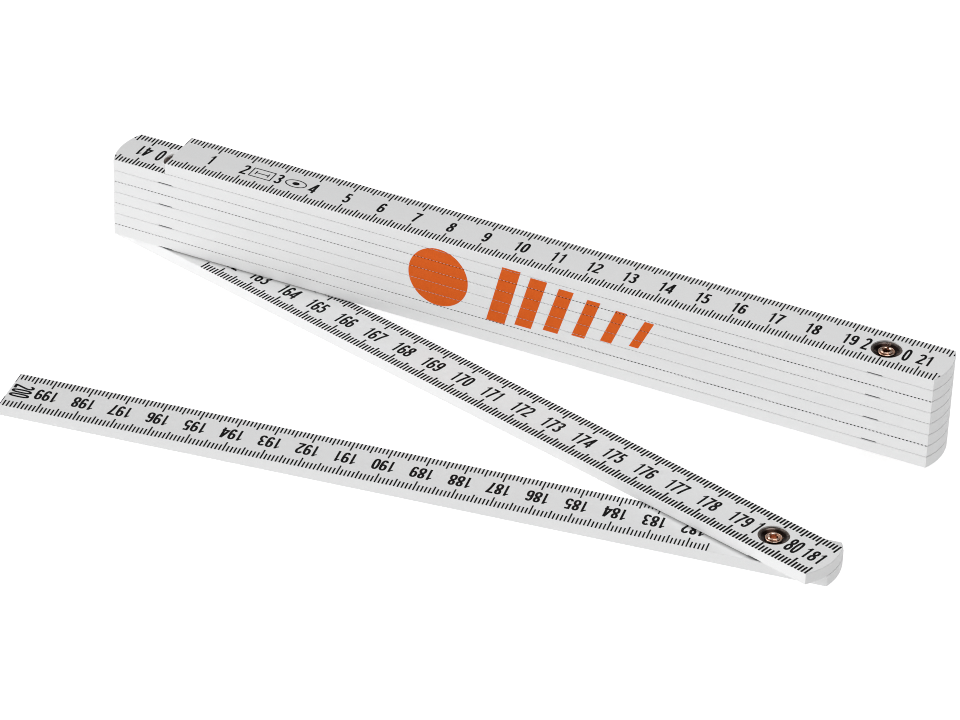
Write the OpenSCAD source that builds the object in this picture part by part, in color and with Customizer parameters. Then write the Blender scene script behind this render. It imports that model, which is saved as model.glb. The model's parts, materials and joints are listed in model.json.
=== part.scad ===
// Folding rule: ten flat plastic links riveted end to end, 2 m long when it is straight.
//
// Millimetres. The pack lies flat: +X runs along it, +Y is its far side and +Z is up.
// The origin is the middle of the first link's square zero end, where every measurement starts.
// Link 1 carries the zero end and lies on top; each later link lies one step lower.
// Hinge n joins link n (above) to link n + 1 (below) and stands n x 20 cm along the scale.
// Links 1 to 8 are folded together; links 9 and 10 are swung out towards -Y.

/* [Links] */
// Distance between the two hinge axes of a link, which is one tenth of the measuring length
hinge_pitch = 200; // [120:1:250]
// Width of a link
link_width = 15; // [15:0.1:18]
// Height from one link to the next in the folded pack
layer_step = 3.3; // [3.3:0.1:5]
// Air gap between two stacked links
layer_gap = 0.04; // [0.03:0.01:0.2]
// Radius of a rounded link end about its hinge axis
end_radius = 17.2; // [12:0.1:20]
// Chamfer along the long edges and round the hinged ends
edge_chamfer = 0.18; // [0.1:0.01:0.4]

/* [Pose] */
// Angle that the ninth link is swung out of the pack
swing_ninth = 15; // [0:0.1:60]
// Angle that the tenth link is swung out from under the ninth
swing_tenth = 23.2; // [0:0.1:60]

/* [Joint plates] */
// Diameter of the shallow pocket in the upper link, which cuts a slit in both long edges
pocket_d = 15.5; // [15.1:0.1:15.8]
// Depth of the pocket in each of the two facing links
pocket_depth = 0.35; // [0.35:0.01:0.4]
// Diameter of the spring plate, whose edge shows in that slit
spring_plate_d = 14.9; // [14:0.1:15]
// Diameter of the detent plate
detent_plate_d = 13.8; // [13:0.1:14]
// Thickness of a joint plate
plate_t = 0.25; // [0.2:0.01:0.25]
// Radius of the ring on which the click points sit
click_ring_r = 4.2; // [4:0.1:4.6]
// Height of a click nub
nub_h = 0.22; // [0.15:0.01:0.22]
// Distance of the two anchor lugs from the hinge axis
lug_r = 5.6; // [5.4:0.1:6]
// Diameter of an anchor lug
lug_d = 1.1; // [0.9:0.1:1.3]
// Length of an anchor lug
lug_l = 0.55; // [0.3:0.05:0.6]

/* [Rivet and washers] */
// Outside diameter of the tubular rivet
rivet_d = 3; // [2.8:0.1:3]
// Hole through the tubular rivet
rivet_hole_d = 2; // [1.6:0.1:2]
// Height of the rolled bead at each end of the rivet, above its washer
bead_h = 0.72; // [0.6:0.01:0.8]
// Diameter of the flange round that bead
flange_d = 4.3; // [4.1:0.1:4.6]
// Diameter of the recess that hides the washer and the rivet's end
recess_d = 8; // [8:0.1:8.4]
// Depth of that recess
recess_depth = 1.15; // [1.15:0.01:1.2]
// Outside diameter of the cup washer
washer_d = 7.9; // [7.6:0.1:7.9]
// Sheet thickness of the cup washer
washer_t = 0.22; // [0.18:0.01:0.22]
// Height of the washer's lip above its seat
washer_lip_h = 0.78; // [0.6:0.01:0.98]

/* [Hidden] */

link_count = 10;
link_h = layer_step - layer_gap;
// Radial running clearance of the rivet in the two links
running_gap = 0.05;
// Radial clearance of the rivet in the sheet-metal parts that it passes through
sheet_gap = 0.08;
// Clearance between the rivet's lower flange and the washer that turns on it
flange_gap = 0.05;
// Radial clearance of the lower joint plate in its closed pocket
seat_gap = 0.2;
// Clearance around an anchor lug in its blind hole, and below its tip
lug_gap = 0.05;
// Click nubs of the spring plate, and the holes of the detent plate that they stand over
click_points = 4;
nub_d = 1;
click_hole_d = 1.4;
// Rolled bead round the hole, the curled edge of the flange, and the web between them
bead_r = 0.3;
bead_step = 0.01;
bead_ring_r = rivet_hole_d / 2 + bead_step + bead_r;
curl_r = 0.17;
curl_ring_r = flange_d / 2 - curl_r;
web_t = 0.2;
// Notches that split the upper bead into petals
petals = 4;
notch_d = 0.62;
notch_ring_r = rivet_hole_d / 2 + 0.05;
// Flat middle and flat lip of the cup washer, with the cone between them
washer_flat_r = 2.45;
washer_lip_w = 0.35;
// Overshoot of every cutting shape past the face that it opens
cut = 1;
$fn = 96;

white_plastic = [0.88, 0.88, 0.87];
copper = [0.72, 0.45, 0.30];
dark_bronze = [0.30, 0.20, 0.14];
spring_steel = [0.45, 0.46, 0.48];

// Height of a link's underside
function link_z(i) = (1 - i) * layer_step - link_h / 2;

// Direction in which a link's scale rises, as an angle from +X
function link_angle(i) =
    i == link_count ? 180 + swing_tenth - swing_ninth :
    i == link_count - 1 ? -swing_ninth :
    i % 2 == 1 ? 0 : 180;

// Place of hinge n: odd hinges stand at the right-hand end, and even hinges at the left
function hinge_place(n) =
    n == link_count - 1 ? [hinge_pitch * cos(swing_ninth), -hinge_pitch * sin(swing_ninth)] :
    n % 2 == 1 ? [hinge_pitch, 0] : [0, 0];

// The first link starts at its square zero end, over the hinge between links 2 and 3
function link_start(i) = i == 1 ? [0, 0] : hinge_place(i - 1);

// Moves a shape drawn along +X, from its start hinge at the origin, to the place of link i
module place_link(i) {
    translate([link_start(i)[0], link_start(i)[1], link_z(i)])
        rotate([0, 0, link_angle(i)])
            children();
}

// Moves a shape drawn on the axis, in the frame of a link, to hinge n
module place_hinge(n, link) {
    translate([hinge_place(n)[0], hinge_place(n)[1], link_z(link)])
        rotate([0, 0, link_angle(link)])
            children();
}

// Cross-section of a link, with its four long edges chamfered
module link_section() {
    half = link_width / 2;
    c = edge_chamfer;
    polygon([[-half, c], [-half + c, 0], [half - c, 0], [half, c],
             [half, link_h - c], [half - c, link_h], [-half + c, link_h], [-half, link_h - c]]);
}

// Round slab about a hinge axis, with chamfered rims, which bounds a hinged end
module end_disc() {
    c = edge_chamfer;
    rotate_extrude()
        polygon([[0, 0], [end_radius - c, 0], [end_radius, c],
                 [end_radius, link_h - c], [end_radius - c, link_h], [0, link_h]]);
}

// A link without its hinge cuts: a strip with an arc about each hinge axis, and a square end elsewhere
module link_blank(start_hinge, end_hinge) {
    reach = end_radius + cut;
    intersection() {
        union() {
            translate([0, -link_width, 0]) cube([hinge_pitch, 2 * link_width, link_h]);
            if (start_hinge) end_disc();
            if (end_hinge) translate([hinge_pitch, 0, 0]) end_disc();
        }
        translate([-reach, 0, 0])
            rotate([90, 0, 90])
                linear_extrude(hinge_pitch + 2 * reach) link_section();
    }
}

// Everything that is cut out of a link at one hinge, drawn with the plate pocket in the top face
module hinge_cuts(plate_pocket_d) {
    translate([0, 0, link_h - pocket_depth]) cylinder(d = plate_pocket_d, h = pocket_depth + cut);
    translate([0, 0, -cut]) cylinder(d = rivet_d + 2 * running_gap, h = link_h + 2 * cut);
    translate([0, 0, -cut]) cylinder(d = recess_d, h = recess_depth + cut);
    for (side = [-1, 1])
        translate([side * lug_r, 0, link_h - pocket_depth - lug_l - lug_gap])
            cylinder(d = lug_d + 2 * lug_gap, h = lug_l + lug_gap + cut, $fn = 32);
}

// The cuts of a hinge's lower link, with a closed pocket in the top face
module cuts_above() {
    hinge_cuts(detent_plate_d + 2 * seat_gap);
}

// The cuts of a hinge's upper link, with the wider pocket in the underside
module cuts_below() {
    translate([0, 0, link_h]) mirror([0, 0, 1]) hinge_cuts(pocket_d);
}

module link(i) {
    start_hinge = i > 1;
    end_hinge = i < link_count;
    color(white_plastic)
        place_link(i)
            difference() {
                link_blank(start_hinge, end_hinge);
                if (start_hinge) cuts_above();
                if (end_hinge) translate([hinge_pitch, 0, 0]) cuts_below();
            }
}

// Half section of a rivet's end, which stands on its washer at height 0: bead, web and curled flange
module rivet_end() {
    translate([bead_ring_r, bead_h - bead_r]) circle(r = bead_r, $fn = 48);
    translate([rivet_hole_d / 2, 0]) square([curl_ring_r - rivet_hole_d / 2, web_t]);
    translate([curl_ring_r, curl_r]) circle(r = curl_r, $fn = 32);
}

// Hollow rivet: a tube with a flanged end at the top and another at the bottom
module rivet(n) {
    // Heights are counted from the underside of the upper link
    top_seat = link_h - recess_depth + washer_t;
    bottom_seat = -layer_step + recess_depth - washer_t - flange_gap;
    tube_bottom = bottom_seat - bead_h + bead_r;
    tube_top = top_seat + bead_h - bead_r;
    color(copper)
        place_hinge(n, n)
            difference() {
                rotate_extrude()
                    union() {
                        translate([rivet_hole_d / 2, tube_bottom])
                            square([(rivet_d - rivet_hole_d) / 2, tube_top - tube_bottom]);
                        translate([0, top_seat]) rivet_end();
                        translate([0, bottom_seat]) mirror([0, 1]) rivet_end();
                    }
                for (k = [0:petals - 1])
                    rotate([0, 0, k * 360 / petals])
                        translate([notch_ring_r, 0, top_seat + web_t])
                            cylinder(d = notch_d, h = bead_h + cut, $fn = 32);
            }
}

// Dished washer standing on z = 0: a flat seat, a cone and a flat lip
module cup_washer() {
    lip_r = washer_d / 2;
    cone_r = lip_r - washer_lip_w;
    hole_r = rivet_d / 2 + sheet_gap;
    rotate_extrude()
        polygon([[hole_r, 0], [washer_flat_r, 0],
                 [cone_r, washer_lip_h - washer_t], [lip_r, washer_lip_h - washer_t],
                 [lip_r, washer_lip_h], [cone_r - washer_t / 2, washer_lip_h],
                 [washer_flat_r - washer_t / 2, washer_t], [hole_r, washer_t]]);
}

module top_washer(n) {
    color(dark_bronze)
        place_hinge(n, n)
            translate([0, 0, link_h - recess_depth]) cup_washer();
}

module bottom_washer(n) {
    color(dark_bronze)
        place_hinge(n, n + 1)
            translate([0, 0, recess_depth]) mirror([0, 0, 1]) cup_washer();
}

// Round plate on z = 0 with its two anchor lugs standing up from it
module plate_blank(plate_d) {
    difference() {
        cylinder(d = plate_d, h = plate_t);
        translate([0, 0, -cut]) cylinder(d = rivet_d + 2 * sheet_gap, h = plate_t + 2 * cut);
    }
    for (side = [-1, 1])
        translate([side * lug_r, 0, 0])
            cylinder(d = lug_d, h = plate_t + lug_l, $fn = 32);
}

module at_click_points() {
    for (k = [0:click_points - 1])
        rotate([0, 0, (k + 0.5) * 360 / click_points])
            translate([click_ring_r, 0, 0])
                children();
}

// Shallow dome, nub_d wide, hanging below z = 0 and rooted half-way up the plate
module nub() {
    ball_r = (pow(nub_d / 2, 2) + pow(nub_h, 2)) / (2 * nub_h);
    root_h = plate_t / 2;
    intersection() {
        translate([0, 0, ball_r - nub_h]) sphere(r = ball_r, $fn = 48);
        translate([0, 0, -nub_h]) cylinder(r = ball_r, h = nub_h + root_h, $fn = 48);
    }
}

// Spring plate: anchored in the underside of the upper link, with its click nubs pointing down
module spring_plate(n) {
    color(spring_steel)
        place_hinge(n, n)
            translate([0, 0, pocket_depth - plate_t])
                union() {
                    plate_blank(spring_plate_d);
                    at_click_points() nub();
                }
}

// Detent plate: anchored in the top face of the lower link, with a hole under each nub
module detent_plate(n) {
    color(spring_steel)
        place_hinge(n, n + 1)
            translate([0, 0, link_h - pocket_depth + plate_t])
                mirror([0, 0, 1])
                    difference() {
                        plate_blank(detent_plate_d);
                        at_click_points()
                            translate([0, 0, -cut]) cylinder(d = click_hole_d, h = plate_t + 2 * cut, $fn = 32);
                    }
}

link(1);  // link_1
link(2);  // link_2
link(3);  // link_3
link(4);  // link_4
link(5);  // link_5
link(6);  // link_6
link(7);  // link_7
link(8);  // link_8
link(9);  // link_9
link(10);  // link_10
rivet(1);  // rivet_1
rivet(2);  // rivet_2
rivet(3);  // rivet_3
rivet(4);  // rivet_4
rivet(5);  // rivet_5
rivet(6);  // rivet_6
rivet(7);  // rivet_7
rivet(8);  // rivet_8
rivet(9);  // rivet_9
top_washer(1);  // top_washer_1
top_washer(2);  // top_washer_2
top_washer(3);  // top_washer_3
top_washer(4);  // top_washer_4
top_washer(5);  // top_washer_5
top_washer(6);  // top_washer_6
top_washer(7);  // top_washer_7
top_washer(8);  // top_washer_8
top_washer(9);  // top_washer_9
bottom_washer(1);  // bottom_washer_1
bottom_washer(2);  // bottom_washer_2
bottom_washer(3);  // bottom_washer_3
bottom_washer(4);  // bottom_washer_4
bottom_washer(5);  // bottom_washer_5
bottom_washer(6);  // bottom_washer_6
bottom_washer(7);  // bottom_washer_7
bottom_washer(8);  // bottom_washer_8
bottom_washer(9);  // bottom_washer_9
spring_plate(1);  // spring_plate_1
spring_plate(2);  // spring_plate_2
spring_plate(3);  // spring_plate_3
spring_plate(4);  // spring_plate_4
spring_plate(5);  // spring_plate_5
spring_plate(6);  // spring_plate_6
spring_plate(7);  // spring_plate_7
spring_plate(8);  // spring_plate_8
spring_plate(9);  // spring_plate_9
detent_plate(1);  // detent_plate_1
detent_plate(2);  // detent_plate_2
detent_plate(3);  // detent_plate_3
detent_plate(4);  // detent_plate_4
detent_plate(5);  // detent_plate_5
detent_plate(6);  // detent_plate_6
detent_plate(7);  // detent_plate_7
detent_plate(8);  // detent_plate_8
detent_plate(9);  // detent_plate_9
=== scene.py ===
# Looks of a folding rule: the printed scale as raised ink, the plastic, the metals and the studio.
# Everything is built in metres in the CAD model's own frame. The named sizes of the rule, its print and
# its materials are in millimetres, and those of the studio are in metres.

import json
import math

import bpy
import numpy as np
from mathutils import Matrix, Vector


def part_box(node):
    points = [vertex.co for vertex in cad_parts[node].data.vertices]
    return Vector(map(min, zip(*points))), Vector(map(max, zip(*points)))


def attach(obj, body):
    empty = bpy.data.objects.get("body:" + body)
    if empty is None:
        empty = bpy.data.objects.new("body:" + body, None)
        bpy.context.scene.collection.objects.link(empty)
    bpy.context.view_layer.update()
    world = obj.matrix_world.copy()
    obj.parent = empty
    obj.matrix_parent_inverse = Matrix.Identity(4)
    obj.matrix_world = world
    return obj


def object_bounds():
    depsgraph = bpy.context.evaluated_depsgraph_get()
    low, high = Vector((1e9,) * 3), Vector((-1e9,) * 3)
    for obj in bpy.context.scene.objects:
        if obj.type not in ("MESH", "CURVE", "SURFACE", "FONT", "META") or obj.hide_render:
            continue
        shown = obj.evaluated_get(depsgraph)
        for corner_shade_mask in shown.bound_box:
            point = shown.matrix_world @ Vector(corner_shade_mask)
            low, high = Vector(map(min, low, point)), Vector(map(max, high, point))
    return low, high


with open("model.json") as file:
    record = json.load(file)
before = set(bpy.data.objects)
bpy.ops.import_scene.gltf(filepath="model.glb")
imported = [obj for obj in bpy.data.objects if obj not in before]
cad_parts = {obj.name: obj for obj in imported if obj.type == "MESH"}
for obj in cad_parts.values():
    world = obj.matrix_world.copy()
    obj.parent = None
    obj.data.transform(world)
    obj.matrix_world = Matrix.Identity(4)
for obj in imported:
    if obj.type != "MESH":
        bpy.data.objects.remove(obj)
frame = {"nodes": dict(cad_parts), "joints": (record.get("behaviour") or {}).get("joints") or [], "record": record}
cad_low, cad_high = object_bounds()

MM = 0.001
LINK_COUNT = 10
PACK_LINKS = 8            # links 1 to 8 are folded together, and the orange print runs over their edges
CM_PER_LINK = 20

# Ink
INK_PROUD = 0.012         # how far the ink stands above the plastic
INK_SUNK = 0.01           # how far its underside is sunk into the plastic, so that no gap shows
EDGE_CHAMFER = 0.18       # chamfer along the links' long edges, as in the CAD model

# Graduation lines: width at the start and at the end of a link, and how far from the centre line they
# end, by kind
USUAL_WIDTH = (0.47, 0.47)
TICK_WIDTH = {1: (0.43, 0.39), 9: (0.49, 0.56), 10: (0.38, 0.43)}
TICK_END = {"millimetre": 4.95, "half": 4.15, "centimetre": 3.5}
TICK_END_AT_RIVET = 4.06  # the line that would run into a rivet's recess stops short of it
FIRST_TICK = 15           # a face is printed from here, because the link above hides what comes before
LAST_TICK = 216           # the last line that fits on the rounded end
BACK_FIRST_TICK = -16     # the reverse is printed from one rounded end to where the link below hides it
BACK_LAST_TICK = 185
END_LINE_WIDTH = 0.2      # the outermost line of the scale, which the square end cuts in half
# How far down the chamfer the lines run at the start and at the end of a link, as a share of it
WRAP = {1: (0.75, 0.75), 2: (0.15, 0.02), 3: (0.1, 0.7), 4: (0.15, 0.4), 5: (0.05, 0.1),
        6: (0.05, 0.1), 7: (0.2, 0.75), 8: (0.02, 0.35), 9: (0.3, 0.5), 10: (0.3, 0.4)}
BACK_MARGIN = 0.2         # the lines on the reverse stop this far short of the chamfer

# Numerals
DIGIT_HEIGHT = 4.6
DIGIT_WIDTH = 1.87
DIGIT_STROKE = 0.66
DECADE_HEIGHT = 5.5       # numerals beside a rivet are taller
DECADE_WIDTH = 1.75
DIGIT_PITCH = 2.03        # from digit to digit
PAIR_SHIFT = 0.4          # the numbers from 11 to 99 stand this far past their lines
NUMBER_DROP = 0.2         # numerals stand this far below the centre line
RIVET_LEFT = 5.25         # from a rivet's axis to the digit on its left
RIVET_RIGHT = 5.5         # and to the first digit on its right
RIVET_PITCH = 1.92
LEFT_OF_ONE = 4.75        # a 1 on the left of a rivet stands a little nearer
LONG_SHIFT = 2.4          # a three-digit number past a rivet moves out, to clear the rivet's own number
LAST_NUMBER_MARGIN = 0.5  # from the square end to the top of the last number


# ---------------------------------------------------------------- the links' own frames

def mount_place(name):
    """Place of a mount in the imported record."""
    return Vector(next(m["pos_m"] for m in frame["record"]["mounts"] if m["name"] == name))


HINGES = {int(j["name"].split("_")[1]): Vector(j["pos_m"]) for j in frame["joints"]}


def link_frame(i, back=False):
    """Matrix from a link's own axes to the frame: x along its scale, z out of the printed side."""
    low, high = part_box(f"link_{i}")
    start = mount_place("zero_end_face") if i == 1 else HINGES[i - 1]
    end = mount_place("rest_face") if i == LINK_COUNT else HINGES[i]
    along = Vector((end.x - start.x, end.y - start.y, 0)).normalized()
    out = Vector((0, 0, -1 if back else 1))
    across = out.cross(along)
    centre = Vector((start.x, start.y, (low.z + high.z) / 2))
    return Matrix.Translation(centre) @ Matrix((along, across, out)).transposed().to_4x4()


LINK_LOW, LINK_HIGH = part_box("link_1")
HALF_WIDTH = (LINK_HIGH.y - LINK_LOW.y) / 2 / MM
HALF_HEIGHT = (LINK_HIGH.z - LINK_LOW.z) / 2 / MM
PITCH = (HINGES[1] - mount_place("zero_end_face")).xy.length / MM
END_RADIUS = (LINK_HIGH.x - HINGES[1].x) / MM
LAYER_STEP = (HINGES[1].z - HINGES[2].z) / MM


# ---------------------------------------------------------------- materials

GRAIN_DEPTH = 0.02        # relief of a fine skin
RIPPLE_DEPTH = 0.12       # relief of the slow waves under it
DRAWN_DEPTH = 0.03        # relief of the marks that drawing leaves on a rivet
INK_SKIN_DEPTH = 0.012
PALE_EDGE_REACH = 0.22         # how far the lighter band spreads from an edge
CORNER_SHADE_REACH = 1.6        # how far the painted shade spreads out of a corner
RIVET_CORNER_REACH = 0.9
BOUNCE_GREY = 0.7         # the grey that scattered light meets in place of the orange ink


class Nodes:
    """A short way to write a node tree. Lengths are in millimetres."""

    def __init__(self, name):
        self.material = bpy.data.materials.new(name)
        self.material.use_nodes = True
        self.tree = self.material.node_tree
        self.tree.nodes.clear()
        self.bsdf = self.add("BsdfPrincipled")
        output = self.add("OutputMaterial")
        self.link(self.bsdf.outputs["BSDF"], output.inputs["Surface"])
        self.place = self.add("TexCoord").outputs["Object"]

    def add(self, kind, **values):
        node = self.tree.nodes.new("ShaderNode" + kind)
        for key, value in values.items():
            setattr(node, key, value)
        return node

    def link(self, source, target):
        self.tree.links.new(source, target)

    def set(self, target, value):
        if isinstance(value, bpy.types.NodeSocket):
            self.link(value, target)
        else:
            target.default_value = value

    def noise(self, scale, detail, stretch=(1, 1, 1), rough=0.5):
        """Noise with scale grains to the metre, drawn out along an axis where stretch is below 1."""
        mapping = self.add("Mapping")
        mapping.inputs["Scale"].default_value = stretch
        self.link(self.place, mapping.inputs["Vector"])
        node = self.add("TexNoise")
        self.link(mapping.outputs["Vector"], node.inputs["Vector"])
        node.inputs["Scale"].default_value = scale
        node.inputs["Detail"].default_value = detail
        node.inputs["Roughness"].default_value = rough
        return node.outputs["Fac"]

    def remap(self, value, low, high, out_low, out_high):
        """Stretches the range from low to high to the range from out_low to out_high, and clamps it."""
        node = self.add("MapRange")
        self.link(value, node.inputs["Value"])
        limits = {"From Min": low, "From Max": high, "To Min": out_low, "To Max": out_high}
        for name, limit in limits.items():
            node.inputs[name].default_value = limit
        return node.outputs["Result"]

    def math(self, operation, a, b):
        node = self.add("Math", operation=operation)
        self.set(node.inputs[0], a)
        self.set(node.inputs[1], b)
        return node.outputs["Value"]

    def mix(self, factor, a, b):
        node = self.add("Mix", data_type="RGBA")
        self.set(node.inputs["Factor"], factor)
        self.set(node.inputs["A"], a)
        self.set(node.inputs["B"], b)
        return node.outputs["Result"]

    def bump(self, height, distance, strength, normal=None):
        node = self.add("Bump")
        node.inputs["Strength"].default_value = strength
        node.inputs["Distance"].default_value = distance * MM
        self.link(height, node.inputs["Height"])
        if normal is not None:
            self.link(normal, node.inputs["Normal"])
        return node.outputs["Normal"]

    def edge(self, radius):
        """1 on a sharp edge and 0 on a flat, from how far a rounded normal leans from the true one."""
        bevel = self.add("Bevel", samples=6)
        bevel.inputs["Radius"].default_value = radius * MM
        geometry = self.add("NewGeometry")
        dot = self.add("VectorMath", operation="DOT_PRODUCT")
        self.link(bevel.outputs["Normal"], dot.inputs[0])
        self.link(geometry.outputs["Normal"], dot.inputs[1])
        return self.remap(dot.outputs["Value"], 0.99, 0.75, 0.0, 1.0)

    def upward(self):
        """1 on a face that looks up and 0 on the others; it keeps the painted corner shade on top faces."""
        normal = self.add("SeparateXYZ")
        self.link(self.add("NewGeometry").outputs["Normal"], normal.inputs[0])
        return self.remap(normal.outputs["Z"], 0.85, 0.98, 0.0, 1.0)

    def out_from_centre(self):
        """0 at the middle of a round piece and 1 at its rim, from its own box."""
        place = self.add("VectorMath", operation="MULTIPLY_ADD")
        self.link(self.add("TexCoord").outputs["Generated"], place.inputs[0])
        place.inputs[1].default_value = (2.0, 2.0, 0.0)
        place.inputs[2].default_value = (-1.0, -1.0, 0.0)
        length = self.add("VectorMath", operation="LENGTH")
        self.link(place.outputs["Vector"], length.inputs[0])
        return length.outputs["Value"]

    def crevice(self, distance):
        """1 in the open and 0 deep in a corner."""
        node = self.add("AmbientOcclusion", samples=8)
        node.inputs["Distance"].default_value = distance * MM
        return node.outputs["AO"]


def rgba(r, g, b):
    return (r, g, b, 1.0)


def plastic_material():
    """White moulded plastic: fine grain, faint streaks along the links, lighter sharp edges, and painted shade in
    the corners of top faces.
    """
    cool_white, warm_white = rgba(0.862, 0.865, 0.868), rgba(0.892, 0.892, 0.890)
    pit, scuff = rgba(0.800, 0.802, 0.805), rgba(0.62, 0.61, 0.59)
    pale_edge_white, painted_corner_shade = rgba(0.93, 0.93, 0.93), rgba(0.42, 0.42, 0.42)
    n = Nodes("white_plastic")
    grain = n.noise(5200, detail=2.0)
    flow = n.noise(60, detail=4.0, stretch=(0.18, 1.6, 1.6))
    marks = n.noise(420, detail=5.0, rough=0.65)
    colour = n.mix(n.remap(flow, 0.3, 0.7, 0.0, 1.0), cool_white, warm_white)
    colour = n.mix(n.remap(grain, 0.25, 0.75, 0.0, 0.6), colour, pit)
    colour = n.mix(n.remap(marks, 0.66, 0.78, 0.0, 0.14), colour, scuff)
    # lighter along sharp edges
    colour = n.mix(n.math("MULTIPLY", n.edge(PALE_EDGE_REACH), 0.5), colour, pale_edge_white)
    # painted shade: top faces grow darker into the corners where other parts stand close
    corner_shade_mask = n.remap(n.crevice(CORNER_SHADE_REACH), 0.5, 0.93, 1.0, 0.0)
    colour = n.mix(n.math("MULTIPLY", corner_shade_mask, n.upward()), colour, painted_corner_shade)
    n.set(n.bsdf.inputs["Base Color"], colour)
    n.set(n.bsdf.inputs["Roughness"], n.remap(marks, 0.3, 0.7, 0.36, 0.52))
    n.set(n.bsdf.inputs["Specular IOR Level"], 0.42)
    rough_skin = n.bump(grain, GRAIN_DEPTH, 0.55)
    n.set(n.bsdf.inputs["Normal"], n.bump(flow, RIPPLE_DEPTH, 0.35, rough_skin))
    return n.material


def ink_material(name, dark, light, roughness, shine):
    """Pad-printed ink: a thin film with a little mottle and a faint orange-peel skin."""
    n = Nodes(name)
    mottle = n.noise(3800, detail=3.0)
    patches = n.noise(260, detail=2.0)
    colour = n.mix(n.remap(mottle, 0.35, 0.75, 0.0, 1.0), dark, light)
    n.set(n.bsdf.inputs["Base Color"], colour)
    n.set(n.bsdf.inputs["Roughness"], n.remap(patches, 0.3, 0.7, roughness - 0.06, roughness + 0.08))
    n.set(n.bsdf.inputs["Specular IOR Level"], shine)
    n.set(n.bsdf.inputs["Normal"], n.bump(mottle, INK_SKIN_DEPTH, 0.5))
    return n.material


def uncoloured_bounce(material, grey):
    """Keeps an ink from tinting the plastic around it: scattered light meets grey instead."""
    tree = material.node_tree
    bsdf = next(node for node in tree.nodes if node.type == "BSDF_PRINCIPLED")
    colour = bsdf.inputs["Base Color"].links[0].from_socket
    path = tree.nodes.new("ShaderNodeLightPath")
    pick = tree.nodes.new("ShaderNodeMix")
    pick.data_type = "RGBA"
    pick.inputs["B"].default_value = rgba(grey, grey, grey)
    tree.links.new(path.outputs["Is Diffuse Ray"], pick.inputs["Factor"])
    tree.links.new(colour, pick.inputs["A"])
    tree.links.new(pick.outputs["Result"], bsdf.inputs["Base Color"])


def copper_material():
    """Bright rolled copper, browned where it is never rubbed."""
    pale, red, brown = rgba(1.0, 0.80, 0.68), rgba(0.74, 0.38, 0.23), rgba(0.060, 0.018, 0.007)
    n = Nodes("rolled_copper")
    drawn = n.noise(2600, detail=4.0, stretch=(1, 1, 0.25))
    stain = n.noise(1300, detail=3.0)
    bright = n.mix(n.remap(stain, 0.38, 0.66, 0.0, 1.0), pale, red)
    rubbed = n.remap(n.crevice(RIVET_CORNER_REACH), 0.15, 0.60, 0.0, 1.0)
    colour = n.mix(rubbed, brown, bright)
    n.set(n.bsdf.inputs["Base Color"], colour)
    n.set(n.bsdf.inputs["Metallic"], 1.0)
    n.set(n.bsdf.inputs["Roughness"], n.remap(drawn, 0.3, 0.7, 0.14, 0.28))
    n.set(n.bsdf.inputs["Normal"], n.bump(drawn, DRAWN_DEPTH, 0.4))
    return n.material


def bronze_material():
    """Dark burnished bronze sheet, redder and brighter where it is rubbed, with a paler rim painted in as the
    shaded plastic wall of the recess, and painted shade deep in the recess.
    """
    dark, red = rgba(0.016, 0.008, 0.006), rgba(0.40, 0.25, 0.20)
    pale, recess_shade_dark = rgba(0.38, 0.32, 0.29), rgba(0.008, 0.004, 0.003)
    n = Nodes("burnished_bronze")
    rubbed = n.noise(620, detail=3.0, rough=0.6)
    fine = n.noise(4200, detail=3.0)
    colour = n.mix(n.remap(rubbed, 0.56, 0.68, 0.0, 1.0), dark, red)
    # painted shade: the rim is painted pale grey to stand for the shaded plastic wall of the recess
    rim = n.remap(n.out_from_centre(), 0.78, 1.0, 0.0, 1.0)
    patchy_rim = n.math("MULTIPLY", rim, n.remap(rubbed, 0.3, 0.6, 0.3, 1.0))
    colour = n.mix(patchy_rim, colour, pale)
    # painted shade: darker deep in the recess, where the washer meets the plastic
    colour = n.mix(n.remap(n.crevice(CORNER_SHADE_REACH), 0.35, 0.75, 0.0, 1.0), recess_shade_dark, colour)
    n.set(n.bsdf.inputs["Base Color"], colour)
    n.set(n.bsdf.inputs["Metallic"], 1.0)
    n.set(n.bsdf.inputs["Roughness"], n.remap(fine, 0.3, 0.7, 0.2, 0.36))
    waves = n.bump(rubbed, RIPPLE_DEPTH, 0.5)
    n.set(n.bsdf.inputs["Normal"], n.bump(fine, GRAIN_DEPTH, 0.4, waves))
    return n.material


def steel_material():
    """Blued spring steel, ground along the sheet, with rubbed high spots."""
    grey, blued, rubbed = rgba(0.10, 0.10, 0.11), rgba(0.06, 0.065, 0.08), rgba(0.35, 0.35, 0.36)
    n = Nodes("spring_steel")
    ground = n.noise(2400, detail=4.0, stretch=(0.05, 1, 1))
    blue = n.noise(240, detail=3.0)
    colour = n.mix(n.remap(blue, 0.35, 0.68, 0.0, 1.0), grey, blued)
    colour = n.mix(n.remap(ground, 0.6, 0.75, 0.0, 0.5), colour, rubbed)
    n.set(n.bsdf.inputs["Base Color"], colour)
    n.set(n.bsdf.inputs["Metallic"], 1.0)
    n.set(n.bsdf.inputs["Roughness"], n.remap(ground, 0.3, 0.7, 0.24, 0.42))
    n.set(n.bsdf.inputs["Normal"], n.bump(ground, GRAIN_DEPTH, 0.5))
    return n.material


MATERIALS = {
    "link": plastic_material(),
    "rivet": copper_material(),
    "top_washer": bronze_material(),
    "spring_plate": steel_material(),
}
MATERIALS["bottom_washer"] = MATERIALS["top_washer"]
MATERIALS["detent_plate"] = MATERIALS["spring_plate"]
BLACK_INK = ink_material("black_ink", rgba(0.001, 0.001, 0.001), rgba(0.004, 0.004, 0.005), 0.55, 0.1)
ORANGE_INK = ink_material("orange_ink", rgba(0.715, 0.101, 0.001), rgba(0.780, 0.127, 0.002), 0.5, 0.22)
uncoloured_bounce(ORANGE_INK, BOUNCE_GREY)


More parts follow.
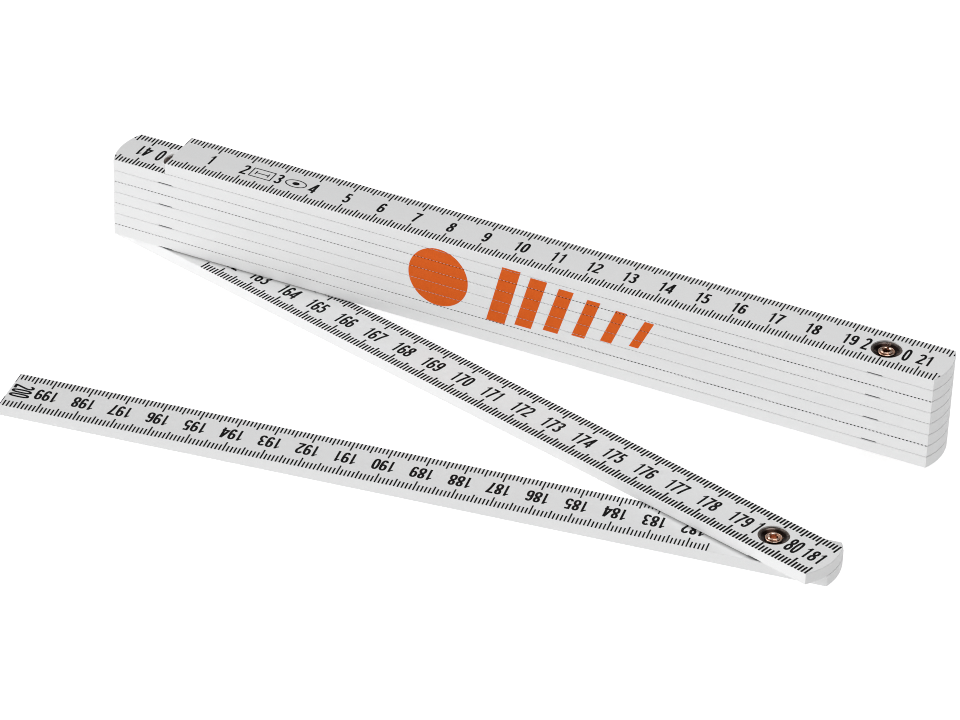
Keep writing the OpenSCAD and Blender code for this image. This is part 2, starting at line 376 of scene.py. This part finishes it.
def finish_cad_nodes():
    """Gives every piece of the CAD model the material of its kind."""
    for name, node in frame["nodes"].items():
        material = MATERIALS[name.rsplit("_", 1)[0]]
        node.data.materials.clear()
        node.data.materials.append(material)


# ---------------------------------------------------------------- flat strokes and solids

def prism(outline, low, high):
    """Closed solid over a flat outline that runs anticlockwise. Returns points and faces."""
    count = len(outline)
    points = [(x, y, low) for x, y in outline] + [(x, y, high) for x, y in outline]
    faces = [tuple(reversed(range(count))), tuple(range(count, 2 * count))]
    faces += [(i, (i + 1) % count, count + (i + 1) % count, count + i) for i in range(count)]
    return points, faces


MITRE_LIMIT = 0.35        # keeps the corners of a sharply bent stroke from running out into spikes


def stroke(path, width, low, high, closed=False):
    """Closed solid along a flat path, with mitred corners and square ends."""
    path = np.array(path, float)
    count = len(path)
    before = path - np.roll(path, 1, axis=0)
    after = np.roll(path, -1, axis=0) - path
    if not closed:
        before[0], after[-1] = after[0], before[-1]
    before /= np.linalg.norm(before, axis=1)[:, None]
    after /= np.linalg.norm(after, axis=1)[:, None]
    left = np.stack([-(before + after)[:, 1], (before + after)[:, 0]], 1)
    left /= np.linalg.norm(left, axis=1)[:, None]
    lean = (left * np.stack([-before[:, 1], before[:, 0]], 1)).sum(1)
    reach = (width / 2 / np.maximum(lean, MITRE_LIMIT))[:, None] * left
    points = []
    for z in (low, high):
        points += [(x, y, z) for x, y in path + reach] + [(x, y, z) for x, y in path - reach]
    faces = []
    for i in range(count if closed else count - 1):
        j = (i + 1) % count
        top_l, top_r, bottom_l, bottom_r = 2 * count, 3 * count, 0, count
        faces.append((top_r + i, top_r + j, top_l + j, top_l + i))
        faces.append((bottom_l + i, bottom_l + j, bottom_r + j, bottom_r + i))
        faces.append((bottom_r + i, bottom_r + j, top_r + j, top_r + i))
        faces.append((bottom_l + j, bottom_l + i, top_l + i, top_l + j))
    if not closed:
        last = count - 1
        faces.append((0, count, 3 * count, 2 * count))
        faces.append((count + last, last, 2 * count + last, 3 * count + last))
    return points, faces


def oval(cx, cy, rx, ry, start=0.0, end=360.0, steps=24, fullness=2.5):
    """Points of a full-bodied oval, or of a part of it, from one angle to another."""
    whole = abs(end - start) >= 360
    angles = np.radians(np.linspace(start, end, steps + 1)[: steps if whole else steps + 1])
    power = 2 / fullness
    x = np.sign(np.cos(angles)) * np.abs(np.cos(angles)) ** power
    y = np.sign(np.sin(angles)) * np.abs(np.sin(angles)) ** power
    return [(cx + rx * a, cy + ry * b) for a, b in zip(x, y)]


def curve(start, pull, end, steps=8):
    """Points of a quadratic curve."""
    t = np.linspace(0, 1, steps + 1)[:, None]
    a, b, c = np.array(start), np.array(pull), np.array(end)
    return [tuple(p) for p in (1 - t) ** 2 * a + 2 * t * (1 - t) * b + t * t * c]


def mesh_of(points, faces, name):
    """A mesh from points and faces."""
    mesh = bpy.data.meshes.new(name)
    mesh.from_pydata([tuple(p) for p in points], [], faces)
    mesh.validate()
    return mesh


def united(solids, name):
    """One closed solid from overlapping ones."""
    scene = bpy.context.scene
    parts = [bpy.data.objects.new(name, mesh_of(*solid, name)) for solid in solids]
    for part in parts:
        scene.collection.objects.link(part)
    for other in parts[1:]:
        union = parts[0].modifiers.new("union", "BOOLEAN")
        union.operation = "UNION"
        union.solver = "EXACT"
        union.object = other
    evaluated = parts[0].evaluated_get(bpy.context.evaluated_depsgraph_get())
    mesh = bpy.data.meshes.new_from_object(evaluated)
    result = [tuple(v.co) for v in mesh.vertices], [tuple(p.vertices) for p in mesh.polygons]
    for part in parts:
        bpy.data.objects.remove(part)
    return result


def joined(solids):
    """Points and faces of many solids as one list."""
    points, faces = [], []
    for some_points, some_faces in solids:
        base = len(points)
        points.extend(some_points)
        faces.extend(tuple(base + i for i in face) for face in some_faces)
    return points, faces


# ---------------------------------------------------------------- digits

# Digits are drawn 1 high and GLYPH_WIDTH wide, as condensed sans-serif strokes.
GLYPH_WIDTH = DIGIT_WIDTH / DIGIT_HEIGHT
PEN = DIGIT_STROKE / DIGIT_HEIGHT
HALF_PEN = PEN / 2
RIGHT = GLYPH_WIDTH - HALF_PEN
MIDDLE = GLYPH_WIDTH / 2
RADIUS = MIDDLE - HALF_PEN
TOP = 1 - HALF_PEN


def digit_strokes():
    """Centre lines of every digit: lists of (path, closed)."""
    low_oval = oval(MIDDLE, 0.30, RADIUS, 0.30 - HALF_PEN)
    six_spine = oval(MIDDLE, 0.5, RADIUS, 0.5 - HALF_PEN, 35, 200, 18)
    three_top = oval(MIDDLE - 0.01, 0.755, RADIUS - 0.01, 0.245 - HALF_PEN, 160, -90, 18)
    three_low = oval(MIDDLE, 0.275, RADIUS, 0.275 - HALF_PEN, 100, -165, 18)
    two_top = oval(MIDDLE, 0.72, RADIUS, 0.28 - HALF_PEN, 168, -20, 16)
    five_bowl = oval(MIDDLE - 0.005, 0.325, RADIUS, 0.325 - HALF_PEN, 128, -165, 20)
    seven_leg = curve((RIGHT - 0.002, TOP - 0.03), (0.20, 0.56), (0.15, 0.0))
    two_foot = [(HALF_PEN + 0.01, 0.13), (HALF_PEN + 0.005, HALF_PEN), (GLYPH_WIDTH, HALF_PEN)]
    four_stem = [(0.76 * GLYPH_WIDTH, 0.0), (0.76 * GLYPH_WIDTH, 1.0)]
    four_corner = [(0.72 * GLYPH_WIDTH, 0.97), (HALF_PEN - 0.02, 0.265), (GLYPH_WIDTH + 0.01, 0.265)]
    five_flag = [(RIGHT, TOP), (HALF_PEN + 0.045, TOP), (HALF_PEN + 0.02, 0.50)]
    turned = [[(GLYPH_WIDTH - x, 1 - y) for x, y in path] for path in (low_oval, six_spine)]
    return {
        "0": [(oval(MIDDLE, 0.5, RADIUS, 0.5 - HALF_PEN, steps=32, fullness=2.7), True)],
        "2": [(two_top + two_foot, False)],
        "3": [(three_top + [(MIDDLE - 0.06, 0.525)], False), (three_low, False)],
        "4": [(four_stem, False), (four_corner, False)],
        "5": [(five_flag, False), (five_bowl, False)],
        "6": [(low_oval, True), (six_spine, False)],
        "7": [([(0.005, TOP), (RIGHT, TOP)] + seven_leg, False)],
        "8": [(oval(MIDDLE, 0.275, RADIUS, 0.275 - HALF_PEN), True),
              (oval(MIDDLE, 0.755, RADIUS - 0.015, 0.245 - HALF_PEN), True)],
        "9": [(turned[0], True), (turned[1], False)],
    }


def one_outline():
    """The digit 1: a stem with a flag curving down from its top."""
    stem_right = 0.30
    stem_left = stem_right - PEN * 0.88
    flag = curve((stem_left + 0.012, 1.0), (stem_left - 0.03, 0.865), (0.045, 0.83), 5)
    stem = [(stem_left, 0.0), (stem_right, 0.0), (stem_right, 1.0)]
    return stem + flag + [(0.045, 0.735), (stem_left, 0.80)]


def make_glyphs():
    """Closed solids of the digits, 1 high, from z = 0 to z = 1."""
    glyphs = {"1": prism(one_outline(), 0.0, 1.0)}
    for digit, strokes in digit_strokes().items():
        solids = [stroke(path, PEN, 0.0, 1.0, closed) for path, closed in strokes]
        glyphs[digit] = united(solids, "digit") if len(solids) > 1 else solids[0]
    return glyphs


GLYPHS = make_glyphs()


def placed_digit(digit, x, height, width, turned=False):
    """A digit centred on x, on the print's own plane. A turned digit has its top towards -x."""
    points = np.array(GLYPHS[digit][0], float)
    px = (points[:, 0] - GLYPH_WIDTH / 2) * width / GLYPH_WIDTH
    py = (points[:, 1] - 0.5) * height
    pz = HALF_HEIGHT - INK_SUNK + points[:, 2] * (INK_SUNK + INK_PROUD)
    if turned:
        return np.stack([-py, px, pz], 1) + (x, 0, 0), GLYPHS[digit][1]
    return np.stack([px + x, py - NUMBER_DROP, pz], 1), GLYPHS[digit][1]


def number(value, x):
    """A number of one to three digits beside the line at x."""
    digits = str(value)
    first = x - DIGIT_PITCH * (len(digits) - 1) / 2
    if 10 < value < 100:
        first += PAIR_SHIFT
    return [placed_digit(digit, first + DIGIT_PITCH * k, DIGIT_HEIGHT, DIGIT_WIDTH)
            for k, digit in enumerate(digits)]


def split_number(value, x):
    """A rivet's own number, split round it: the first digit on the left, the others on the right."""
    digits = str(value)
    left = LEFT_OF_ONE if digits[0] == "1" else RIVET_LEFT
    solids = [placed_digit(digits[0], x - left, DECADE_HEIGHT, DECADE_WIDTH)]
    for k, digit in enumerate(digits[1:]):
        right = RIVET_RIGHT + RIVET_PITCH * k
        solids.append(placed_digit(digit, x + right, DECADE_HEIGHT, DECADE_WIDTH))
    return solids


def turned_number(value, x):
    """The scale's last number, which reads across the link at its square end."""
    solids = []
    digits = str(value)
    for k, digit in enumerate(digits):
        points, faces = placed_digit(digit, x, DECADE_HEIGHT, DECADE_WIDTH, turned=True)
        solids.append((points + (0, RIVET_PITCH * (k - (len(digits) - 1) / 2), 0), faces))
    return solids


# ---------------------------------------------------------------- the printed scale

def ink_range():
    """Underside and top of the ink on a flat face."""
    return HALF_HEIGHT - INK_SUNK, HALF_HEIGHT + INK_PROUD


def flat_profile(inner, limit):
    """Section of a line that ends on the flat of the face, at limit."""
    low, high = ink_range()
    return [(inner, low), (limit, low), (limit, high), (inner, high)]


def bent_profile(inner, wrap):
    """Section of a line that runs over the flat and down the chamfer by a share wrap of it."""
    top, flat, down = HALF_HEIGHT, HALF_WIDTH - EDGE_CHAMFER, EDGE_CHAMFER * wrap
    proud, sunk = INK_PROUD, -INK_SUNK
    bend, diagonal = math.tan(math.pi / 8), 1 / math.sqrt(2)
    return [
        (inner, top + sunk), (flat + sunk * bend, top + sunk),
        (flat + down + sunk * diagonal, top - down + sunk * diagonal),
        (flat + down + proud * diagonal, top - down + proud * diagonal),
        (flat + proud * bend, top + proud), (inner, top + proud),
    ]


def tick(x, inner, width, wrap, side, limits):
    """A line from inner out to a long edge. The limits say how far its two sides may reach."""
    if min(limits) < HALF_WIDTH - EDGE_CHAMFER:
        profiles = [flat_profile(inner, limit) for limit in limits]
    else:
        profiles = [bent_profile(inner, wrap)] * 2
    count = len(profiles[0])
    start, end = ([(at, side * y, z) for y, z in profile]
                  for at, profile in zip((x - width / 2, x + width / 2), profiles))
    faces = [(i, (i + 1) % count, count + (i + 1) % count, count + i) for i in range(count)]
    faces += [tuple(reversed(range(count))), tuple(range(count, 2 * count))]
    if side > 0:
        faces = [tuple(reversed(face)) for face in faces]
    return start + end, faces


def tick_kind(x):
    """What the line at x millimetres stands for."""
    if x % 10 == 0:
        return "centimetre"
    return "half" if x % 5 == 0 else "millimetre"


def edge_limit(x, rounded_start, rounded_end):
    """How far from the centre line the face reaches at x, which is less over a rounded end."""
    past = 0.0
    if rounded_start:
        past = max(past, -x)
    if rounded_end:
        past = max(past, x - PITCH)
    flat_radius = END_RADIUS - EDGE_CHAMFER
    return min(HALF_WIDTH, math.sqrt(max(flat_radius ** 2 - past ** 2, 0.0)))


def print_range(i, back):
    """First and last line that are printed on one side of a link."""
    if back:
        first = 0 if i == 1 else BACK_FIRST_TICK
        last = PITCH if i == LINK_COUNT else BACK_LAST_TICK
    else:
        first = 0 if i == 1 else FIRST_TICK
        last = PITCH if i == LINK_COUNT else LAST_TICK
    return first, round(last)


def blend(ends, share):
    """A value part of the way from one end of a link to the other."""
    return ends[0] + (ends[1] - ends[0]) * share


def scale_lines(i, back):
    """All graduation lines of one side of a link."""
    first, last = print_range(i, back)
    solids = []
    for x in range(first, last + 1):
        at, width = x, blend(TICK_WIDTH.get(i, USUAL_WIDTH), x / last)
        if i == 1 and x == 0:
            at, width = END_LINE_WIDTH / 2 + INK_PROUD, END_LINE_WIDTH
        if i == LINK_COUNT and x == last:
            at, width = x - END_LINE_WIDTH / 2 - INK_PROUD, END_LINE_WIDTH
        limits = [edge_limit(at + dx, i > 1, i < LINK_COUNT) for dx in (-width / 2, width / 2)]
        inner = TICK_END[tick_kind(x)]
        if (x == 0 and i > 1) or (x == round(PITCH) and i < LINK_COUNT):
            inner = TICK_END_AT_RIVET
        if min(limits) <= inner:
            continue
        wrap = blend(WRAP[i], x / last)
        if back:
            limits = [min(limit, HALF_WIDTH - EDGE_CHAMFER - BACK_MARGIN) for limit in limits]
        for side in (-1, 1):
            solids.append(tick(at, inner, width, wrap, side, limits))
    return solids


def scale_numbers(i, back):
    """All numerals of one side of a link."""
    first, last = print_range(i, back)
    start = (i - 1) * CM_PER_LINK
    solids = []
    for x in range(math.ceil(first / 10) * 10, last + 1, 10):
        value = start + x // 10
        if value == 0 or (x == 10 and not back and i > 1):
            continue
        if value == LINK_COUNT * CM_PER_LINK:
            solids += turned_number(value, PITCH - LAST_NUMBER_MARGIN - DECADE_HEIGHT / 2)
        elif x in (0, round(PITCH)):
            solids += split_number(value, x)
        else:
            shift = 0
            if value > 99 and x > PITCH:
                shift = LONG_SHIFT
            if value > 99 and x < 0:
                shift = -LONG_SHIFT
            solids += number(value, x + shift)
    return solids


def ink_piece(name, solids, matrix, i, material):
    """One piece of print, from solids in millimetres, riding on link i."""
    points, faces = joined(solids)
    world = np.array(matrix)
    scaled = np.array(points, float) * MM
    placed = scaled @ world[:3, :3].T + world[:3, 3]
    piece = bpy.data.objects.new(name, mesh_of(placed, faces, name))
    piece.data.materials.append(material)
    bpy.context.scene.collection.objects.link(piece)
    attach(piece, f"link_{i}_body")


def print_scale():
    """The scale on both sides of every link."""
    for i in range(1, LINK_COUNT + 1):
        for back in (False, True):
            matrix = link_frame(i, back)
            side = "back" if back else "face"
            ink_piece(f"lines_{side}_{i}", scale_lines(i, back), matrix, i, BLACK_INK)
            ink_piece(f"numbers_{side}_{i}", scale_numbers(i, back), matrix, i, BLACK_INK)


# ---------------------------------------------------------------- generic marks

MARK_STROKE = 0.34
BOX_MARK = (21.9, 28.1, 4.3)       # start, end and height of the plain box beside the 2
OVAL_MARK = (32.0, 37.8, 3.7)      # start, end and height of the plain oval beside the 3
DIMENSION_INSET = 1.3              # from the box to the ends of the dimension line in it
DIMENSION_POST = 0.85              # half the height of those ends
DOT_RADII = (1.0, 0.75)            # of the dot in the oval


def plain_marks():
    """A box round a dimension line and an oval round a dot, between the first numbers."""
    low, high = ink_range()
    start, end, height = BOX_MARK
    half = height / 2 - MARK_STROKE / 2
    y = -NUMBER_DROP
    corners = [(start, y - half), (end, y - half), (end, y + half), (start, y + half)]
    solids = [stroke(corners, MARK_STROKE, low, high, closed=True)]
    ends = (start + DIMENSION_INSET, end - DIMENSION_INSET)
    solids.append(stroke([(x, y) for x in ends], MARK_STROKE, low, high))
    for x in ends:
        post = [(x, y - DIMENSION_POST), (x, y + DIMENSION_POST)]
        solids.append(stroke(post, MARK_STROKE, low, high))
    start, end, height = OVAL_MARK
    middle = (start + end) / 2
    ring = oval(middle, y, (end - start) / 2, height / 2 - MARK_STROKE / 2, steps=40, fullness=2.0)
    solids.append(stroke(ring, MARK_STROKE, low, high, closed=True))
    solids.append(prism(oval(middle, y, *DOT_RADII, steps=24, fullness=2.0), low, high))
    return solids


# ---------------------------------------------------------------- orange print on the pack's edge

PRINT_TOP = 2.6                    # from the top of the pack to the top of the print
PRINT_HEIGHT = 17.0
DISC_CENTRE = 80.0
BAR_START = 94.0
BARS = 6
BAR_PITCH = 8.0
BAR_WIDTH = 5.2
BAR_LEAN = 4.0
BAR_SHRINK = 0.1                   # each bar is smaller than the one before by this share of the first
ORANGE_WRAP = 0.15                 # how far the print runs on to the chamfers


def clip(outline, level, keep_above):
    """The part of a convex outline on one side of a level."""
    kept = []
    sign = 1 if keep_above else -1
    for (ax, ay), (bx, by) in zip(outline, outline[1:] + outline[:1]):
        a, b = sign * (ay - level), sign * (by - level)
        if a >= 0:
            kept.append((ax, ay))
        if a * b < 0:
            t = a / (a - b)
            kept.append((ax + t * (bx - ax), ay + t * (by - ay)))
    return kept


def orange_shapes():
    """A plain disc and a row of leaning bars, which shrink to the right, in x and z on the near side."""
    top = HALF_HEIGHT - PRINT_TOP
    centre = top - PRINT_HEIGHT / 2
    shapes = [oval(DISC_CENTRE, centre, PRINT_HEIGHT / 2, PRINT_HEIGHT / 2, steps=64, fullness=2.0)]
    for k in range(BARS):
        size = 1 - BAR_SHRINK * k
        half, width = PRINT_HEIGHT / 2 * size, BAR_WIDTH * size
        x = BAR_START + BAR_PITCH * k
        shapes.append([(x, centre - half), (x + width, centre - half),
                       (x + width + BAR_LEAN, centre + half), (x + BAR_LEAN, centre + half)])
    return shapes


def edge_band(outline, low, high, lean):
    """The part of an outline between two levels, as a thin closed solid. On a chamfer it leans back from
    the flat of the edge, which lies below it where lean is 1 and above it where lean is -1."""
    part = clip(clip(outline, low, True), high, False)
    if len(part) < 3:
        return []
    points, faces = prism(part, -INK_SUNK, INK_PROUD)
    if lean:
        level = low if lean > 0 else high
        points = [(x, z, out - abs(z - level)) for x, z, out in points]
    return [(points, faces)]


def print_orange():
    """The orange shapes, cut into a piece for every link that they run over."""
    near_side = Matrix.Translation((0, -HALF_WIDTH * MM, 0)) @ Matrix.Rotation(math.pi / 2, 4, "X")
    for i in range(1, PACK_LINKS + 1):
        middle = -LAYER_STEP * (i - 1)
        low, high = middle - HALF_HEIGHT + EDGE_CHAMFER, middle + HALF_HEIGHT - EDGE_CHAMFER
        solids = []
        for shape in orange_shapes():
            solids += edge_band(shape, low, high, 0)
            solids += edge_band(shape, high, high + ORANGE_WRAP, 1)
            solids += edge_band(shape, low - ORANGE_WRAP, low, -1)
        if solids:
            ink_piece(f"orange_print_{i}", solids, near_side, i, ORANGE_INK)


# ---------------------------------------------------------------- studio

# The camera's angles are in degrees, its lens and sensor in millimetres
CAMERA_AZIMUTH = 24.54
CAMERA_ELEVATION = 33.38
CAMERA_ROLL = 2.12
CAMERA_LENS = 173.5
CAMERA_SENSOR = 36
CAMERA_DISTANCE = 1.1977
CAMERA_TARGET = (0.0925, -0.0070)  # the point of the floor that it looks at
NEAREST_SEEN = 0.05
FARTHEST_SEEN = 50
# Area lights: place, size and power
LEFT_SOFTBOX = ((-1.36, -0.75, 0.45), (1.0, 0.6), 15.0)
RIGHT_SOFTBOX = ((0.3, 0.0, 0.5), (0.25, 0.25), 0.82)
LEFT_SPARKLE = ((-0.4, 0.5, 1.0), (0.2, 0.2), 0.9)
SKY_LEVEL = 0.46                   # brightness of the tent overhead
SKY_GRADIENT = (-0.22, -0.20, 0)   # and how it changes from side to side
FLOOR_GLOW = 0.58                  # light from the floor itself, which fills the undersides
FLOOR_GLOW_SEEN = 0.75             # and what the camera sees of it
FLOOR_REACH = 6.0                  # from the middle of the floor to its edges
PIXEL_FILTER = 1.0                 # a crisp picture, in which millimetre lines stay apart


def floor_material():
    """Pale seamless paper that glows a little, and more for the camera than for the object."""
    n = Nodes("pale_floor")
    fibre = n.noise(900, detail=3.0)
    n.set(n.bsdf.inputs["Base Color"], n.mix(fibre, rgba(0.50, 0.50, 0.50), rgba(0.52, 0.52, 0.52)))
    n.set(n.bsdf.inputs["Roughness"], 0.9)
    n.set(n.bsdf.inputs["Specular IOR Level"], 0.1)
    n.set(n.bsdf.inputs["Emission Color"], rgba(1.0, 1.0, 1.0))
    seen = n.add("LightPath").outputs["Is Camera Ray"]
    n.set(n.bsdf.inputs["Emission Strength"], n.remap(seen, 0.0, 1.0, FLOOR_GLOW, FLOOR_GLOW_SEEN))
    return n.material


def make_floor():
    """A wide sheet, just under the ink on the lowest link."""
    reach = FLOOR_REACH
    points = [(-reach, -reach, 0), (reach, -reach, 0), (reach, reach, 0), (-reach, reach, 0)]
    floor = bpy.data.objects.new("floor", mesh_of(points, [(0, 1, 2, 3)], "floor"))
    floor.location = (0, 0, cad_low.z - INK_PROUD * 2 * MM)
    floor.data.materials.append(floor_material())
    bpy.context.scene.collection.objects.link(floor)


def make_world():
    """A white tent, brightest on the left and darkest on the right. The camera sees it plain white."""
    world = bpy.data.worlds.new("tent")
    world.use_nodes = True
    tree = world.node_tree
    nodes, links = tree.nodes, tree.links
    nodes.clear()
    place = nodes.new("ShaderNodeTexCoord")
    lean = nodes.new("ShaderNodeVectorMath")
    lean.operation = "DOT_PRODUCT"
    lean.inputs[1].default_value = SKY_GRADIENT
    shade = nodes.new("ShaderNodeMath")
    shade.inputs[1].default_value = SKY_LEVEL
    path = nodes.new("ShaderNodeLightPath")
    pick = nodes.new("ShaderNodeMix")
    pick.inputs["B"].default_value = 1.0
    background = nodes.new("ShaderNodeBackground")
    output = nodes.new("ShaderNodeOutputWorld")
    links.new(place.outputs["Generated"], lean.inputs[0])
    links.new(lean.outputs["Value"], shade.inputs[0])
    links.new(path.outputs["Is Camera Ray"], pick.inputs["Factor"])
    links.new(shade.outputs["Value"], pick.inputs["A"])
    links.new(pick.outputs["Result"], background.inputs["Strength"])
    links.new(background.outputs["Background"], output.inputs["Surface"])
    bpy.context.scene.world = world


def add_light(name, place, size, power, aim):
    """An area light that looks at aim."""
    data = bpy.data.lights.new(name, "AREA")
    data.shape = "RECTANGLE"
    data.size, data.size_y = size
    data.energy = power
    light = bpy.data.objects.new(name, data)
    light.location = place
    light.rotation_mode = "QUATERNION"
    light.rotation_quaternion = (Vector(aim) - Vector(place)).to_track_quat("-Z", "Y")
    bpy.context.scene.collection.objects.link(light)


def make_lights():
    """A large light from the left, a weak one over the right-hand end and a small one behind."""
    middle = (cad_low + cad_high) / 2
    add_light("left_softbox", *LEFT_SOFTBOX, middle)
    add_light("right_softbox", *RIGHT_SOFTBOX, (cad_high.x, 0, 0))
    add_light("left_sparkle", *LEFT_SPARKLE, middle)


def make_camera():
    """The camera as it stood for the photo, slightly rolled."""
    azimuth, elevation = math.radians(CAMERA_AZIMUTH), math.radians(CAMERA_ELEVATION)
    roll = math.radians(CAMERA_ROLL)
    ahead = Vector((-math.sin(azimuth) * math.cos(elevation),
                    math.cos(azimuth) * math.cos(elevation), -math.sin(elevation)))
    right = ahead.cross(Vector((0, 0, 1))).normalized()
    up = right.cross(ahead)
    across = math.cos(roll) * right + math.sin(roll) * up
    upright = math.cos(roll) * up - math.sin(roll) * right
    data = bpy.data.cameras.new("camera")
    data.sensor_width = CAMERA_SENSOR
    data.lens = CAMERA_LENS
    data.clip_start, data.clip_end = NEAREST_SEEN, FARTHEST_SEEN
    camera = bpy.data.objects.new("camera", data)
    target = Vector((*CAMERA_TARGET, cad_low.z))
    turn = Matrix((across, upright, -ahead)).transposed().to_4x4()
    camera.matrix_world = Matrix.Translation(target - ahead * CAMERA_DISTANCE) @ turn
    bpy.context.scene.collection.objects.link(camera)
    bpy.context.scene.camera = camera


# ---------------------------------------------------------------- the whole

finish_cad_nodes()
print_scale()
ink_piece("marks_face_1", plain_marks(), link_frame(1), 1, BLACK_INK)
print_orange()
make_floor()
make_world()
make_lights()
make_camera()
scene = bpy.context.scene
scene.view_settings.view_transform = "Standard"
scene.view_settings.look = "None"
scene.cycles.filter_width = PIXEL_FILTER
scene.cycles.denoising_prefilter = "NONE"  # a filtered guide would smear the lines on the thin edges
